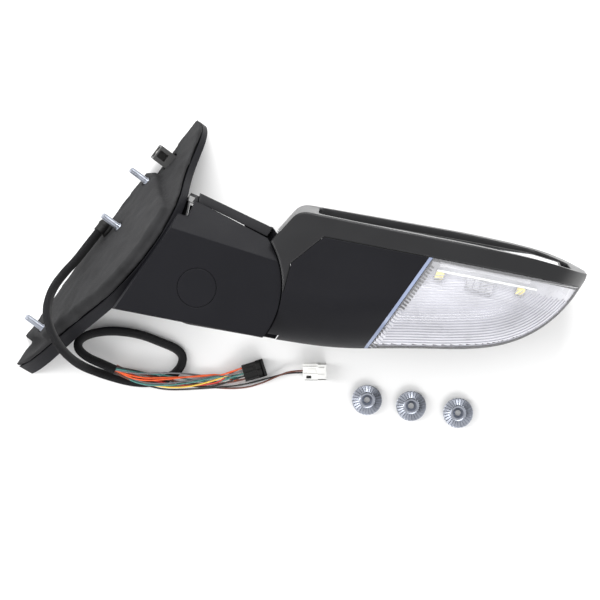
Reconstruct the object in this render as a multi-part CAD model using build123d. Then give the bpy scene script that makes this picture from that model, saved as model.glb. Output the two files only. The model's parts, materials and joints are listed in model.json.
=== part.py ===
from build123d import *
from functools import cache
import math
import os

# Right-hand door mirror, lying with its painted cap on a bench (mm).
# X runs outboard along the mirror head, Y to the rear of the car (the side the driver looks at),
# Z up off the bench, which is down when the mirror is on the car.
# Everything is drawn about the fold axis at (0, 0) and moved at the end by ORIGIN_SHIFT, so that
# the origin lies under the middle of the mirror.

ORIGIN_SHIFT = (-91.5, -19.5, 0.0)

# ---- driving dimensions -------------------------------------------------------------------
WALL = 2.5                  # moulded wall thickness
GAP = 0.4                   # gap between neighbouring mouldings

# foot that bolts to the door
FOOT_ANGLE = 64.6           # direction of the door face, from +X
FOOT_LEAN = 17.5            # lean of the door face from the vertical
FOOT_DISTANCE = 92.5        # from the fold axis to the door face, at the bench
FLANGE_THICK = 3.5          # foam gasket round the foot
PAD_RISE = 8.0              # raised middle of the gasket
PLATE_TOP, PLATE_BOTTOM = -3.8, -6.8
STUD_R = 3.0                # M6
SHOULDER_R = 3.6            # knurled root of a stud
STUD_PLACES = [(-46.3, 16.0), (1.5, 33.0), (114.8, 28.0)]
STUD_REACH = 18.0           # free length beyond the gasket
CLIP_PLACE = (-73.0, 12.0)
BOOT_PLACE = (8.0, 12.3)     # where the harness comes out of the foot

# arm
ARM_TOP = 130.0
ARM_FRONT = -34.5
LAP_Z = 88.0                # the arm is above this level, the head's hub below it
COVER_Z = 112.0             # rear strip below this level, lower cover above it
NECK_FLOOR = 50.0
SAIL_TOP = 124.3            # the arm's lower cover laps over the sail above this level
SEAM_R = 73.8               # seam between arm and head, about the fold axis
STRIP_R = 83.2              # the head stays outside this below COVER_Z
PLUG_PLACE = (0.8, -2.9)
PLUG_R = 17.4

# hub and fold drive
HUB_R = 36.0
HUB_LOW, HUB_TOP = 51.0, 84.0
SHAFT_R, SHAFT_BORE = 8.0, 5.0
GEAR_TEETH = 40
GEAR_R = 20.0
GEAR_LOW, GEAR_TOP = 73.0, 80.0
WORM_R = 4.0
WORM_Y = -(GEAR_R + WORM_R + 0.8)
WORM_Z = (GEAR_LOW + GEAR_TOP) / 2

# head: x, lowest z, highest z, foremost y
STATIONS = [
    (50, 54, 129, -34.5),
    (95, 38, 136, -33.5),
    (140, 26, 142, -29.5),
    (185, 15, 145.5, -21.0),
    (230, 6.5, 146, -13.0),
    (270, 1, 141, -2.0),
    (300, 2, 130, 16.5),
    (322, 18, 114, 43.0),
    (334, 44.5, 94, 69.0),
]
HEAD_END = 333.6            # the head is cut off here, just inside the last section
NOSE = 0.58                 # height of the foremost line, as a share of the section
ROUND = 46.0                # how far back the rounding of the nose reaches
RIM_LEAN = 0.0964           # the opening leans by this much y per z
BEZEL_Y = 61.5              # seam between the bezel and the covers
OPENING = [(92, 46), (92, 127), (125, 132), (296, 131), (318, 108), (318, 50), (288, 19), (215, 24)]
OPENING_R = 12.0
EDGE_STRIP = 3.4            # width of the tinted strip along the lens's inboard edge
LENS_EDGE = [(192.4, 70.0), (192.4, 61.0), (154.3, -23.0), (147.0, -45.0)]

# glass and its drive, in a frame at the ball centre that leans with the glass
BALL = (203.0, 62.0, 76.0)
GLASS_LEAN = 8.3
GLASS_THICK = 2.0
JACK_ARM = 28.0
CASE_TOP, CASE_BOTTOM = -10.0, -25.0
ACTUATOR_SCREWS = [(-38.0, -12.0), (38.0, -12.0), (38.0, 30.0)]
WEB_Y = 25.5                # front face of the head frame's web
SCREW_R = 2.0
PIN_R = 1.95

# wiring
BUNDLE_D = 8.0
LOOM_D = 5.2
PAIR_D = 2.6
FLANGE_R = 13.5
NUT_PLACES = [(167.1, -73.3), (207.2, -71.0), (250.0, -69.1)]
BUNDLE_ROUTE = [
    (-98.9, 29.2, 17.8), (-105.4, 16.4, 21.5), (-112.5, 1.2, 28.6), (-121.5, -14.0, 39),
    (-128.0, -30.0, 52), (-128.5, -47.5, 65), (-121.5, -63.5, 72), (-111.5, -76.0, 68),
    (-101.5, -85.0, 52), (-91.5, -91.0, 30), (-79.5, -94.5, 11), (-62.5, -97.0, 4.2),
    (-43.5, -98.0, 4.0), (-27.0, -95.5, 4.0), (-12.5, -88.5, 4.0), (-4.0, -78.0, 4.0),
    (-2.5, -67.0, 4.0), (-10.0, -60.5, 4.0), (-26.0, -57.5, 4.0), (-45.5, -54.0, 4.0),
    (-67.5, -55.0, 4.0), (-86.5, -60.5, 7.0), (-97.5, -68.0, 15.0), (-98.0, -76.5, 20.0),
    (-88.5, -83.0, 19.0), (-73.5, -86.5, 15.5), (-61.0, -89.5, 13.5),
]
LOOM_ROUTE = [
    (-60.7, -88.24, 13.5), (-48.2, -91.24, 11.5), (-33.5, -92.0, 12.0), (-20.0, -90.5, 12.5),
    (-6.5, -89.0, 11.5), (8.5, -86.5, 6.5), (21.5, -83.5, 4.0), (33.5, -80.0, 5.0), (45.26, -75.23, 7.0),
    (53.2, -71.0, 7.0),
]
PAIR_ROUTE = [
    (-61.62, -92.08, 13.5), (-49.12, -95.08, 11.5), (-32.0, -98.0, 10.0), (-14.0, -97.5, 6.5),
    (4.0, -93.5, 2.5), (21.5, -90.0, 1.5), (39.0, -87.0, 1.5), (57.0, -82.0, 1.5),
    (72.0, -74.5, 1.5), (84.0, -67.0, 4.0), (95.5, -61.1, 7.0), (105.3, -59.2, 7.0),
]
BLACK_PLUG = (53.2, -71.0, 7.0)      # middle of the rear face, where the wires go in
BLACK_TURN = 28.0
WHITE_PLUG = (105.3, -59.2, 7.0)
WHITE_TURN = 11.0

BIG = 500.0


# ---- helpers ------------------------------------------------------------------------------
def box(x0, x1, y0, y1, z0, z1):
    return Pos((x0 + x1) / 2, (y0 + y1) / 2, (z0 + z1) / 2) * Box(x1 - x0, y1 - y0, z1 - z0)


def post(r, z0, z1, x=0.0, y=0.0):
    return Pos(x, y, (z0 + z1) / 2) * Cylinder(r, z1 - z0)


def ring(r_in, r_out, z0, z1, x=0.0, y=0.0):
    return post(r_out, z0, z1, x, y) - post(r_in, z0 - 1, z1 + 1, x, y)


def prism(points, z0, z1):
    """Upright prism over a polygon."""
    return Pos(0, 0, z0) * extrude(make_face(Polyline(*points, close=True)), z1 - z0)


def tube(route, diameter, name):
    """Round tube along straight runs joined by arcs as large as the runs allow."""
    pts = [Vector(*p) for p in route]
    radii = []
    for a, b, c in zip(pts, pts[1:], pts[2:]):
        half_turn = math.radians((b - a).get_angle(c - b)) / 2
        radii.append(0.45 * min((b - a).length, (c - b).length) / math.tan(half_turn))
    path = FilletPolyline(*pts, radius=radii)
    start = Plane(origin=path @ 0, z_dir=path % 0)
    solid = sweep(start * Circle(diameter / 2), path=path)
    section = math.pi * diameter ** 2 / 4
    print(name, "length", round(path.length, 1), "radii", [round(r, 1) for r in radii],
          "volume ratio", round(solid.volume / (section * path.length), 4))
    return solid


def biggest(shape):
    """The largest solid of a result, without the crumbs that a cut can leave."""
    return max(shape.solids(), key=lambda s: s.volume)


# ---- foot ---------------------------------------------------------------------------------
def foot_frame():
    """Origin on the door face at the bench, x to the front of the car, y up the face, z to the door."""
    a, lean = math.radians(FOOT_ANGLE), math.radians(FOOT_LEAN)
    along = (math.cos(a), math.sin(a))
    inward = (-math.sin(a), math.cos(a))
    origin = (FOOT_DISTANCE * inward[0], FOOT_DISTANCE * inward[1], 0)
    normal = (math.cos(lean) * inward[0], math.cos(lean) * inward[1], math.sin(lean))
    return Plane(origin=origin, x_dir=(-along[0], -along[1], 0), z_dir=normal)


FOOT = foot_frame()
ABOVE_BENCH = box(-BIG, BIG, -BIG, BIG, 0, BIG)


def foot_outline(inset=0.0):
    """Leaf shape of the foot, running a little below the bench line."""
    arch = Spline((161, -14), (147, 21), (98, 67), (44, 117), (-10, 129), (-49, 108),
                  (-76, 70), (-106, 40), (-115, -14))
    if inset:
        moved = []
        for i in range(17):
            inward = (arch % (i / 16)).rotate(Axis.Z, 90)
            moved.append(arch @ (i / 16) + inward * inset)
        arch = Spline(*moved)
    return make_face([arch, Line(arch @ 1, arch @ 0)])


def foot_slab(inset, n0, n1):
    return Pos(0, 0, n0) * extrude(foot_outline(inset), n1 - n0)


def on_foot(shape):
    return (FOOT.location * shape) & ABOVE_BENCH


def place_on_foot(shape):
    return FOOT.location * shape


def stud_holes(r):
    return [Pos(f, t, 0) * Cylinder(r, 80) for f, t in STUD_PLACES]


def base_seal():
    flange = foot_slab(0, -FLANGE_THICK, 0)
    middle = make_face(Polyline((136, -14), (124, 26), (116, 62), (40, 128), (-34, 135),
                                (-48, 60), (-58, 20), (-52, -14), close=True))
    pad = extrude(middle & foot_outline(2.0), PAD_RISE)
    pad = fillet(pad.faces().sort_by(Axis.Z)[-1].edges(), 3.0)
    seal = flange + pad
    for hole in stud_holes(SHOULDER_R + 0.5):
        seal -= hole
    seal -= Pos(*BOOT_PLACE, 0) * Cylinder(5.6, 80)
    seal -= Pos(*CLIP_PLACE, 0) * Box(15.4, 11.4, 30)
    return biggest(on_foot(seal))


def foot_depth(f):
    """How far the sail cover reaches out from the door face, thicker to the front."""
    return -(13.0 + 0.026 * f)


def cover_body(inset):
    """Solid sail cover: the foot outline, down to a back that deepens to the front."""
    back = make_face(Polyline((-130, -4), (180, -4), (180, foot_depth(180) + inset),
                              (-130, foot_depth(-130) + inset), close=True))
    wedge = extrude(Plane.XZ * back, BIG / 2, both=True)
    slab = foot_slab(inset, -30, -FLANGE_THICK - GAP)
    return slab & wedge


def sail_cover():
    outer = cover_body(0.6)
    neck = foot_slab(5.5, -40, -6.0) & box(-46, 62, 57, 140, -60, 0)
    return biggest(on_foot(outer - cover_body(0.6 + WALL) - neck))


def base_bracket():
    plate = foot_slab(7.0, PLATE_BOTTOM, PLATE_TOP)
    for hole in stud_holes(SHOULDER_R + 0.02):
        plate -= hole
    plate -= Pos(*BOOT_PLACE, 0) * Cylinder(5.4, 80)
    plate = on_foot(plate)
    neck = prism([(-110, -18), (-46, -18), (-44, -8), (-44, 34), (-42, 48), (-60, 48)], 62, 102)
    room = prism([(-120, -13), (-52, -13), (-50, -8), (-50, 30), (-52, 42), (-66, 42)], 66, 97)
    lap = prism([(-64, -18), (26, -26), (34, 0), (30, 30), (-42, 48), (-60, 30)], 92, 102)
    lap -= prism([(-34, -12), (-26, -14), (-26, 32), (-34, 34)], 80, 110)
    behind_plate = on_foot(Pos(0, 60, PLATE_BOTTOM - 250 + 0.5) * Box(400, 400, 500))
    boss = post(24.0, 90.0, 102)
    bracket = plate + ((neck - room + lap) & behind_plate) + boss
    bracket -= post(SHAFT_R + 0.02, 80, 120)
    for x, y in COVER_SCREWS:
        bracket -= post(SCREW_R + 0.02, 90, 120, x, y)
    return biggest(bracket)


COVER_SCREWS = [(-30.0, -20.0), (22.0, -22.5), (20.0, 25.0)]


def studs():
    out = []
    for f, t in STUD_PLACES:
        shank = Pos(f, t, PAD_RISE) * extrude(Circle(STUD_R), STUD_REACH)
        root = Pos(f, t, PLATE_BOTTOM - 1.6) * extrude(Circle(SHOULDER_R), PAD_RISE - PLATE_BOTTOM + 1.6)
        head = Pos(f, t, PLATE_BOTTOM - 1.6) * extrude(RegularPolygon(5.6, 6), 1.6)
        stud = shank + root + head
        out.append(chamfer(stud.faces().sort_by(Axis.Z)[-1].edges(), 0.6))
    return place_on_foot(Compound(out))


def locating_clip():
    block = Pos(*CLIP_PLACE, (15.0 + PLATE_TOP) / 2) * Box(14.6, 10.6, 15.0 - PLATE_TOP)
    block -= Pos(*CLIP_PLACE, 11.0) * Box(11.0, 7.0, 14.0)
    block -= Pos(CLIP_PLACE[0], CLIP_PLACE[1] + 4.5, 9.0) * Box(7.0, 4.0, 9.0)
    return place_on_foot(block)


def clip_spring():
    """Folded steel strip standing in the clip."""
    x, y = CLIP_PLACE
    strip = Polyline((x - 4.8, y - 3, 4.2), (x - 4.8, y - 3, 13.0), (x, y - 3, 14.6),
                     (x + 4.8, y - 3, 13.0), (x + 4.8, y - 3, 4.2), (x + 4.1, y - 3, 4.2),
                     (x + 4.1, y - 3, 12.5), (x, y - 3, 13.9), (x - 4.1, y - 3, 12.5),
                     (x - 4.1, y - 3, 4.2), close=True)
    return place_on_foot(extrude(make_face(strip), 6.0, dir=(0, 1, 0)))


def harness_boot():
    """Rubber elbow: a barrel through the foot, a flange on the gasket and an outlet to the front."""
    g = Pos(*BOOT_PLACE, 0)
    barrel = g * Pos(0, 0, PLATE_BOTTOM - 2.2) * extrude(Circle(5.2), PAD_RISE - PLATE_BOTTOM + 2.4)
    lip = g * Pos(0, 0, PAD_RISE + 0.2) * extrude(Circle(9.0), 1.8)
    barb = g * Pos(0, 0, PLATE_BOTTOM - 2.2) * extrude(Circle(7.0), 2.0)
    bore = g * Pos(0, 0, PLATE_BOTTOM - 3) * extrude(Circle(BUNDLE_D / 2), 14)
    outlet, following = Vector(*BUNDLE_ROUTE[0]), Vector(*BUNDLE_ROUTE[1])
    back = (outlet - following).normalized()
    knee = outlet + back * 8.3
    elbow = extrude(Plane(origin=outlet, z_dir=back) * Circle(5.0), 8.3)
    elbow += Plane(origin=knee, z_dir=back) * Sphere(5.5)
    return biggest(place_on_foot(barrel + lip + barb - bore) + elbow)


# ---- arm ----------------------------------------------------------------------------------
def arm_outline(inset, radius):
    """Planform of the arm: straight front, round end about the fold axis, sloping back."""
    front = ARM_FRONT + inset
    end = math.sqrt(radius ** 2 - front ** 2)
    back = [(53.7 - inset, 52.1 - inset), (-5.8, 68.8 - inset), (-30, 74 - inset)]
    r_end = math.hypot(*back[0])
    k = (radius - 0.01) / r_end
    start = (back[0][0] * k, back[0][1] * k)
    mid = (radius * math.cos(0.1), radius * math.sin(0.1))
    edges = [
        Line((-95, front), (end, front)),
        ThreePointArc((end, front), mid, start),
        Polyline(start, *back[1:], (-95 , 74 - inset)),
        Line((-95, 74 - inset), (-95, front)),
    ]
    return make_face(edges)


def sloping_back(drop):
    """Half space that bevels the rear of the arm's lower cover."""
    crease = Vector(-31.3, 44.1, ARM_TOP - drop)
    along = Vector(93.3, -10.8, 0)
    low = Vector(24.0, 60.5, 119.0 - drop)
    normal = along.cross(low - crease).normalized()
    return Plane(origin=crease, x_dir=along, z_dir=normal)


def door_side(depth):
    """Everything on the arm's side of the sail cover's back."""
    back = make_face(Polyline((-200, -BIG), (200, -BIG), (200, foot_depth(200) - depth),
                              (-200, foot_depth(-200) - depth), close=True))
    return FOOT.location * extrude(Plane.XZ * back, BIG, both=True)


def arm_body(inset, z0, z1):
    body = Pos(0, 0, z0) * extrude(arm_outline(inset, SEAM_R - GAP - inset), z1 - z0)
    cut = sloping_back(inset * 1.05).location * (Pos(0, 0, 100) * Box(400, 400, 200))
    beside_sail = door_side(0.2) & box(-BIG, BIG, -BIG, BIG, 0, SAIL_TOP)
    over_sail = door_side(inset - 8.0) & box(-BIG, BIG, -BIG, BIG, SAIL_TOP - 1.0, 200)
    return (body - cut) & (beside_sail + over_sail)


def arm_lower_cover():
    outer = arm_body(0, LAP_Z, ARM_TOP)
    top = outer.faces().sort_by(Axis.Z)[-1]
    outer = fillet(top.edges().filter_by(GeomType.LINE).group_by(Axis.Y)[0], 2.0)
    shell = outer - arm_body(WALL, LAP_Z - 1, ARM_TOP - WALL)
    shell -= strip_region(0, LAP_Z - 1, COVER_Z + GAP)
    hole = post(PLUG_R - 0.3, ARM_TOP - 10, ARM_TOP + 5, *PLUG_PLACE)
    cover = shell - hole
    seat = ring(PLUG_R - 3.0, PLUG_R + 1.5, ARM_TOP - 5.0, ARM_TOP - WALL, *PLUG_PLACE)
    cover += seat - hole + ring(PLUG_R - 3.0, PLUG_R - 0.2, ARM_TOP - 5.0, ARM_TOP - 3.2, *PLUG_PLACE)
    for x, y in COVER_SCREWS:
        cover += post(4.0, 102, ARM_TOP - WALL, x, y) - post(SCREW_R + 0.02, 90, 122, x, y)
    return biggest(cover)


def strip_region(shift, z0, z1):
    """Behind the arm, outside the lower cover's back edge."""
    points = [(-36, 71), (-5.8, 68.4), (53.7, 51.7), (80, 45), (80, 100), (-36, 100)]
    return Pos(0, shift, 0) * prism(points, z0, z1)


def arm_rear_strip():
    """Cover strip that closes the back of the arm below its lower cover."""
    outer = prism([(-12.8, 66.5), (-12.8, 78.7), (55.2, 61.0), (50.8, 50.2)], LAP_Z, COVER_Z - 1.2)
    outer &= post(STRIP_R - 0.8, LAP_Z - 1, COVER_Z + 1)
    top = outer.faces().sort_by(Axis.Z)[-1]
    outer = fillet(top.edges().group_by(Axis.Y)[-1], 1.5)
    inner = prism([(-10.3, 60), (-10.3, 75.5), (52.6, 59.0), (48.3, 40)], LAP_Z - 1, COVER_Z - 1.2 - WALL)
    return biggest((outer - inner) & strip_region(GAP, 0, 200))


def neck_collar():
    """Block between the sail and the rear strip."""
    block = prism([(-24.5, 63), (-24.5, 78.7), (-13.2, 75.8), (-13.2, 69.0)], LAP_Z, COVER_Z - 1.5)
    inner = prism([(-22, 50), (-22, 75.6), (-15.7, 74.0), (-15.7, 50)], LAP_Z - 1, COVER_Z - 4)
    return biggest((block - inner) & door_side(0.2) & strip_region(GAP, 0, 200))


def arm_floor():
    """Plate that closes the underside of the arm round the boss."""
    plate = arm_body(WALL + GAP, LAP_Z, LAP_Z + 1.8) - post(25.5, 80, 100)
    plate &= box(-20, 100, -100, 100, 0, 100)
    lip = ring(SEAM_R - 8.0, STRIP_R - 0.4, LAP_Z - 1.6, LAP_Z - 0.2)
    lip &= box(30, 100, ARM_FRONT - 8, 62, 0, 100)
    web = ring(SEAM_R - 8.0, SEAM_R - 5.0, LAP_Z - 1.6, LAP_Z + 1.0)
    web &= box(50, 100, ARM_FRONT + 4, 46, 0, 100)
    return biggest(plate - strip_region(-WALL, 80, 100) + lip + web)


def arm_upper_cover():
    """Bench side of the neck, with a round bite for the hub."""
    points = [(-95, ARM_FRONT), (-22, ARM_FRONT), (-22, 71), (-34, 80), (-95, 80)]
    inner = [(-110, ARM_FRONT + WALL), (-22 - WALL, ARM_FRONT + WALL), (-22 - WALL, 68.5),
             (-35, 77), (-110, 77)]
    outer = prism(points, NECK_FLOOR, LAP_Z - GAP) - post(HUB_R + 2.0, 0, LAP_Z + 1)
    outer &= door_side(0.2)
    hollow = prism(inner, NECK_FLOOR + WALL, LAP_Z + 1) - post(HUB_R + 2.0 + WALL, 0, LAP_Z + 2)
    return biggest(outer - hollow)


def pivot_plug():
    plug = post(PLUG_R - 0.55, ARM_TOP - 3.0, ARM_TOP + 0.25, *PLUG_PLACE)
    return fillet(plug.faces().sort_by(Axis.Z)[-1].edges(), 0.5)


def cover_screws():
    out = []
    for x, y in COVER_SCREWS:
        out.append(post(SCREW_R, 92, 121, x, y) + post(3.2, 89.9, 92, x, y))
    return Compound(out)


# ---- hub and fold drive --------------------------------------------------------------------
def pivot_shaft():
    shaft = post(SHAFT_R, 53.5, 102) + post(14.0, 102, 104.5)
    return shaft - post(SHAFT_BORE, 40, 120)


def fixed_detent():
    return teeth_ring(87.0, 1.0, 0.0)


def teeth_ring(z, up, turn):
    """Flat ring with three shallow ramps on one face."""
    z0, z1 = (z, z + 3) if up > 0 else (z - 2, z)
    plate = ring(SHAFT_R + 0.1, 22.0, z0, z1)
    for i in range(3):
        plate -= Rot(0, 0, turn + 120 * i) * box(12, 24, -3.0, 3.0, z - 0.9, z + 0.9)
    return plate


def moving_detent():
    return teeth_ring(86.0, -1.0, 0.0)


def fold_gear():
    """Clutch gear; each tooth is a low trapezium."""
    outline = []
    for i in range(GEAR_TEETH):
        for part_turn, r in ((0.05, GEAR_R - 1.5), (0.28, GEAR_R + 0.4),
                             (0.52, GEAR_R + 0.4), (0.75, GEAR_R - 1.5)):
            a = 2 * math.pi * (i + part_turn) / GEAR_TEETH
            outline.append((r * math.cos(a), r * math.sin(a)))
    return prism(outline, GEAR_LOW, GEAR_TOP) - post(SHAFT_R + 0.02, 60, 100)


def fold_worm():
    core = Rot(0, 90, 0) * Cylinder(WORM_R - 1.4, 26)
    worm = core
    for i in range(-3, 4):
        worm += Pos(i * 3.1, 0, 0) * (Rot(0, 90, 0) * Cone(WORM_R - 0.3, WORM_R - 1.2, 1.4))
    return Pos(2, WORM_Y, WORM_Z) * worm


def fold_motor():
    can = Pos(33, WORM_Y, WORM_Z) * (Rot(0, 90, 0) * Cylinder(5.6, 28))
    flat = box(18, 48, WORM_Y - 5.0, WORM_Y + 5.0, WORM_Z - 5.4, WORM_Z + 5.4)
    nose = Pos(17.6, WORM_Y, WORM_Z) * (Rot(0, 90, 0) * Cylinder(2.4, 3.0))
    return (can & flat) + nose


def pivot_spring():
    coil = Helix(pitch=3.9, height=13.0, radius=11.6)
    wire = Plane(origin=coil @ 0, z_dir=coil % 0) * Circle(1.1)
    return Pos(0, 0, 58.6) * sweep(wire, path=coil, is_frenet=True)


def spring_retainer():
    return ring(SHAFT_R + 0.02, 14.0, 55.0, 57.2)


def hub_cavity():
    gear_room = post(GEAR_R + 2.4, HUB_LOW + 3.4, GEAR_TOP + 1.2)
    worm_room = box(-13, 50, WORM_Y - 6.2, WORM_Y + 6.2, WORM_Z - 6.4, WORM_Z + 5.4)
    return gear_room + worm_room


def head_frame():
    """Casting: hub round the fold axis, tongue into the head and the upright web behind the glass."""
    hub = post(HUB_R, HUB_LOW, HUB_TOP)
    tongue = prism([(0, -HUB_R), (58, -HUB_R + 1), (96, -20), (112, WEB_Y + 2), (96, WEB_Y + 2), (60, 20),
                    (0, 20)], HUB_LOW + 3, HUB_TOP)
    web = head_loft(7.0) & box(94, 296, WEB_Y, WEB_Y + 5, 0, 88)
    web += head_loft(13.0) & box(94, 296, WEB_Y, WEB_Y + 5, 88, 200)
    web -= prism_xz([(118, 62), (118, 110), (150, 118), (150, 48)], 15, 45)
    web -= prism_xz([(256, 30), (256, 118), (284, 108), (284, 36)], 15, 45)
    for x, z in ACTUATOR_SCREWS:
        web += GLASS * (Pos(x, -31.5, z) * (Rot(90, 0, 0) * Cylinder(5.0, 12.8)))
    frame = hub + tongue + web
    frame -= hub_cavity()
    frame -= post(SHAFT_R + 0.06, 40, 100)
    frame -= prism([(54, -14), (92, -8), (92, 12), (54, 12)], HUB_LOW, HUB_TOP - 4)
    frame -= post(HUB_R - 5.8, HUB_LOW - 1, HUB_LOW + 3.4)
    for x, z in ACTUATOR_SCREWS:
        frame -= GLASS * (Pos(x, -31, z) * (Rot(90, 0, 0) * Cylinder(SCREW_R + 0.02, 16)))
    return biggest(frame)


def prism_xz(points, y0, y1):
    """Prism along Y over a polygon of x, z points."""
    face = make_face(Polyline(*[(x, y0, z) for x, z in points], close=True))
    return extrude(face, y1 - y0, dir=(0, 1, 0))


def rounded_xz(points, radius, y):
    return make_face(FilletPolyline(*[(x, y, z) for x, z in points], radius=radius, close=True))


def hub_cover():
    lid = post(HUB_R - 6.0, HUB_LOW, HUB_LOW + 2.4)
    return lid - post(5.0, 0, 60) + ring(24.4, HUB_R - 6.0, HUB_LOW + 2.4, HUB_LOW + 3.2)


# ---- head ---------------------------------------------------------------------------------
def section(x, low, high, front, inset):
    """One D-shaped section across the head, its back left open far behind the rim."""
    low, high, front = low + inset, high - inset, front + inset
    nose = low + NOSE * (high - low)
    reach = min(ROUND, 92 - front)
    far = 112.0
    top = front + reach
    points = [(x, far, high), (x, top, high), (x, front, nose), (x, top, low), (x, far, low)]
    frame = Plane(origin=(x, top, nose), x_dir=(0, 1, 0), z_dir=(1, 0, 0))
    upper = frame * EllipticalCenterArc((0, 0), reach, high - nose, 90, arc_size=90)
    lower = frame * EllipticalCenterArc((0, 0), reach, nose - low, 180, arc_size=90)
    wire = [Line(points[0], points[1]), upper, lower, Line(points[3], points[4]),
            Line(points[4], points[0])]
    return make_face(wire)


@cache
def head_loft(inset):
    return loft([section(x, low, high, front, inset) for x, low, high, front in STATIONS])


def head_plan(inset):
    """Everything in front of the leaning rim and outboard of the arm."""
    far = 92.5 - inset
    rim = Spline((215, far), (262, far - 1.2), (300, far - 4.0), (326, far - 8.5), (345, far - 16.0),
                 tangents=((1, 0), (0.6, -0.8)))
    corner = (69.9 + inset * 1.5, 84.0)
    edges = [
        Polyline((345, far - 16.0), (345, -80), (30, -80), (30, 20), (55.6 + inset * 1.2, 60.4), corner),
        Spline(corner, (75.5 + inset, 90.2 - inset * 0.4), (84.0 + inset, far),
               tangents=((0.5, 0.86), (1, 0))),
        Line((84.0 + inset, far), (215, far)), rim,
    ]
    face = make_face(edges)
    return extrude(face, 200, dir=(0, -RIM_LEAN, 1))


def upright_plan(inset):
    """The same inboard edge, but upright, so that it doesn't lean with the rim."""
    return prism([(30, -80), (400, -80), (400, 130), (95, 130), (75.5 + inset, 93), (69.9 + inset, 84.0),
                  (55.6 + inset, 60.4), (30, 30)], 0, 200)


@cache
def head_solid(inset):
    solid = head_loft(inset) & head_plan(inset) & upright_plan(inset)
    solid &= box(0, HEAD_END - inset, -100, 120, 0, 200)
    ledge = COVER_Z - 0.5 + inset
    solid -= post(SEAM_R + GAP + inset, ledge, 200)
    return solid - post(STRIP_R + GAP + inset, -1, ledge)


@cache
def head_shell(wall):
    return head_solid(0) - head_solid(wall)


def below_split(shift):
    """The cap's side of the seam that runs round the nose of the head."""
    return prism_xz([(0, -10), (400, -10), (400, 81 + shift), (0, 100 + shift)], -100, 120)


def above_split(shift):
    return prism_xz([(0, 100 + shift), (400, 81 + shift), (400, 220), (0, 220)], -100, 120)


CORNER_PATCH = [(100.8, 61.6), (76.9, 33.5), (75.3, 7.8)]


def corner_region(gap):
    """Inboard corner, where the bezel comes round to the underside."""
    (ax, ay), (bx, by), (cx, cy) = CORNER_PATCH
    return prism([(ax - gap, ay + 60), (ax - gap, ay), (bx - gap, by), (cx - gap, cy), (40, cy), (40, 140)],
                 0, 220)


def outboard_of_lens_edge(gap):
    return prism([(x + gap, y) for x, y in LENS_EDGE] + [(380, -45), (380, 70)], 0, 220)


def skull_cap():
    cap = head_shell(WALL) & below_split(0) & box(0, 400, -100, BEZEL_Y - GAP, 0, 200)
    return biggest(cap - box(60, 120, -40, 44, HUB_LOW - 1.5, HUB_TOP + 1.5))


def lower_cover():
    cover = head_shell(WALL) & above_split(GAP) & box(0, 400, -100, BEZEL_Y - GAP, 0, 200)
    cover -= corner_region(0)
    return biggest(cover - outboard_of_lens_edge(0))


def signal_lens():
    lens = head_shell(3.0) & above_split(GAP) & box(0, 400, -100, BEZEL_Y - GAP, 0, 200)
    return biggest(lens & outboard_of_lens_edge(EDGE_STRIP + 0.4))


def lens_gasket():
    strip = head_shell(3.0) & above_split(GAP) & box(0, 400, -100, BEZEL_Y - GAP, 0, 200)
    return biggest((strip & outboard_of_lens_edge(0.3)) - outboard_of_lens_edge(EDGE_STRIP))


def opening(offset_by, y0, y1):
    face = rounded_xz(OPENING, OPENING_R, y0)
    face = offset(face, amount=offset_by) if offset_by else face
    return extrude(face, y1 - y0, dir=(0, 1, 0))


def bezel():
    rear = box(0, 400, BEZEL_Y, 130, 0, 200)
    hollow = head_solid(WALL) - opening(WALL, 20, 140)
    frame = (head_solid(0) & rear) - hollow - opening(0, 20, 140)
    patch = head_shell(WALL) & above_split(GAP) & corner_region(GAP) & box(0, 400, -100, BEZEL_Y, 0, 200)
    return biggest(frame + biggest(patch))


# ---- lamp ---------------------------------------------------------------------------------
def lamp_zone(inset):
    return head_solid(inset) & outboard_of_lens_edge(2.0 + inset) & box(0, 322, -100, 50.2, 0, 200)


def lamp_housing():
    """Pale tray under the lens."""
    tray = lamp_zone(9.0) - head_solid(11.0)
    return biggest(tray & prism_xz([(100, 104), (330, 92), (330, 220), (100, 220)], -100, 120))


def led_board():
    return box(202, 290, 50.6, 52.2, 124.0, 141.0) & head_solid(4.2)


def light_guide():
    return Location((243, 57.0, 135.6), (0, 6.5, 0)) * (Rot(0, 90, 0) * Cylinder(2.2, 80))


def signal_leds():
    out = []
    for x, z in ((204.5, 139.3), (276.0, 132.7)):
        body = box(x - 4, x + 4, 44.5, 50.4, z - 1.6, z + 1)
        dome = post(1.9, z + 1, z + 2.2, x, 47.4)
        out.append(body + dome)
    return Compound(out)


def puddle_lamp():
    block = box(228, 252, 40.5, 50.2, 137.3, 140.6)
    return fillet(block.edges().filter_by(Axis.Y), 1.2)


# ---- glass and its drive --------------------------------------------------------------------
GLASS = Location(BALL, (GLASS_LEAN, 0, 0))
GLASS_SHAPE = [(-103, -25), (-103, 42), (-90, 50), (84, 48), (107, 26), (107, -22), (80, -49), (14, -45)]


def glass_slab(inset, y0, y1):
    face = rounded_xz(GLASS_SHAPE, 9.0, y0)
    face = offset(face, amount=-inset) if inset else face
    return extrude(face, y1 - y0, dir=(0, 1, 0))


def socket(x, z):
    """Cup on the back of the carrier that a jack screw's ball works in."""
    cup = Pos(x, 4.2, z) * (Rot(90, 0, 0) * Cylinder(7.6, 14.4))
    return cup - Pos(x, -1, z) * (Rot(90, 0, 0) * Cylinder(5.6, 13.0))


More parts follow.
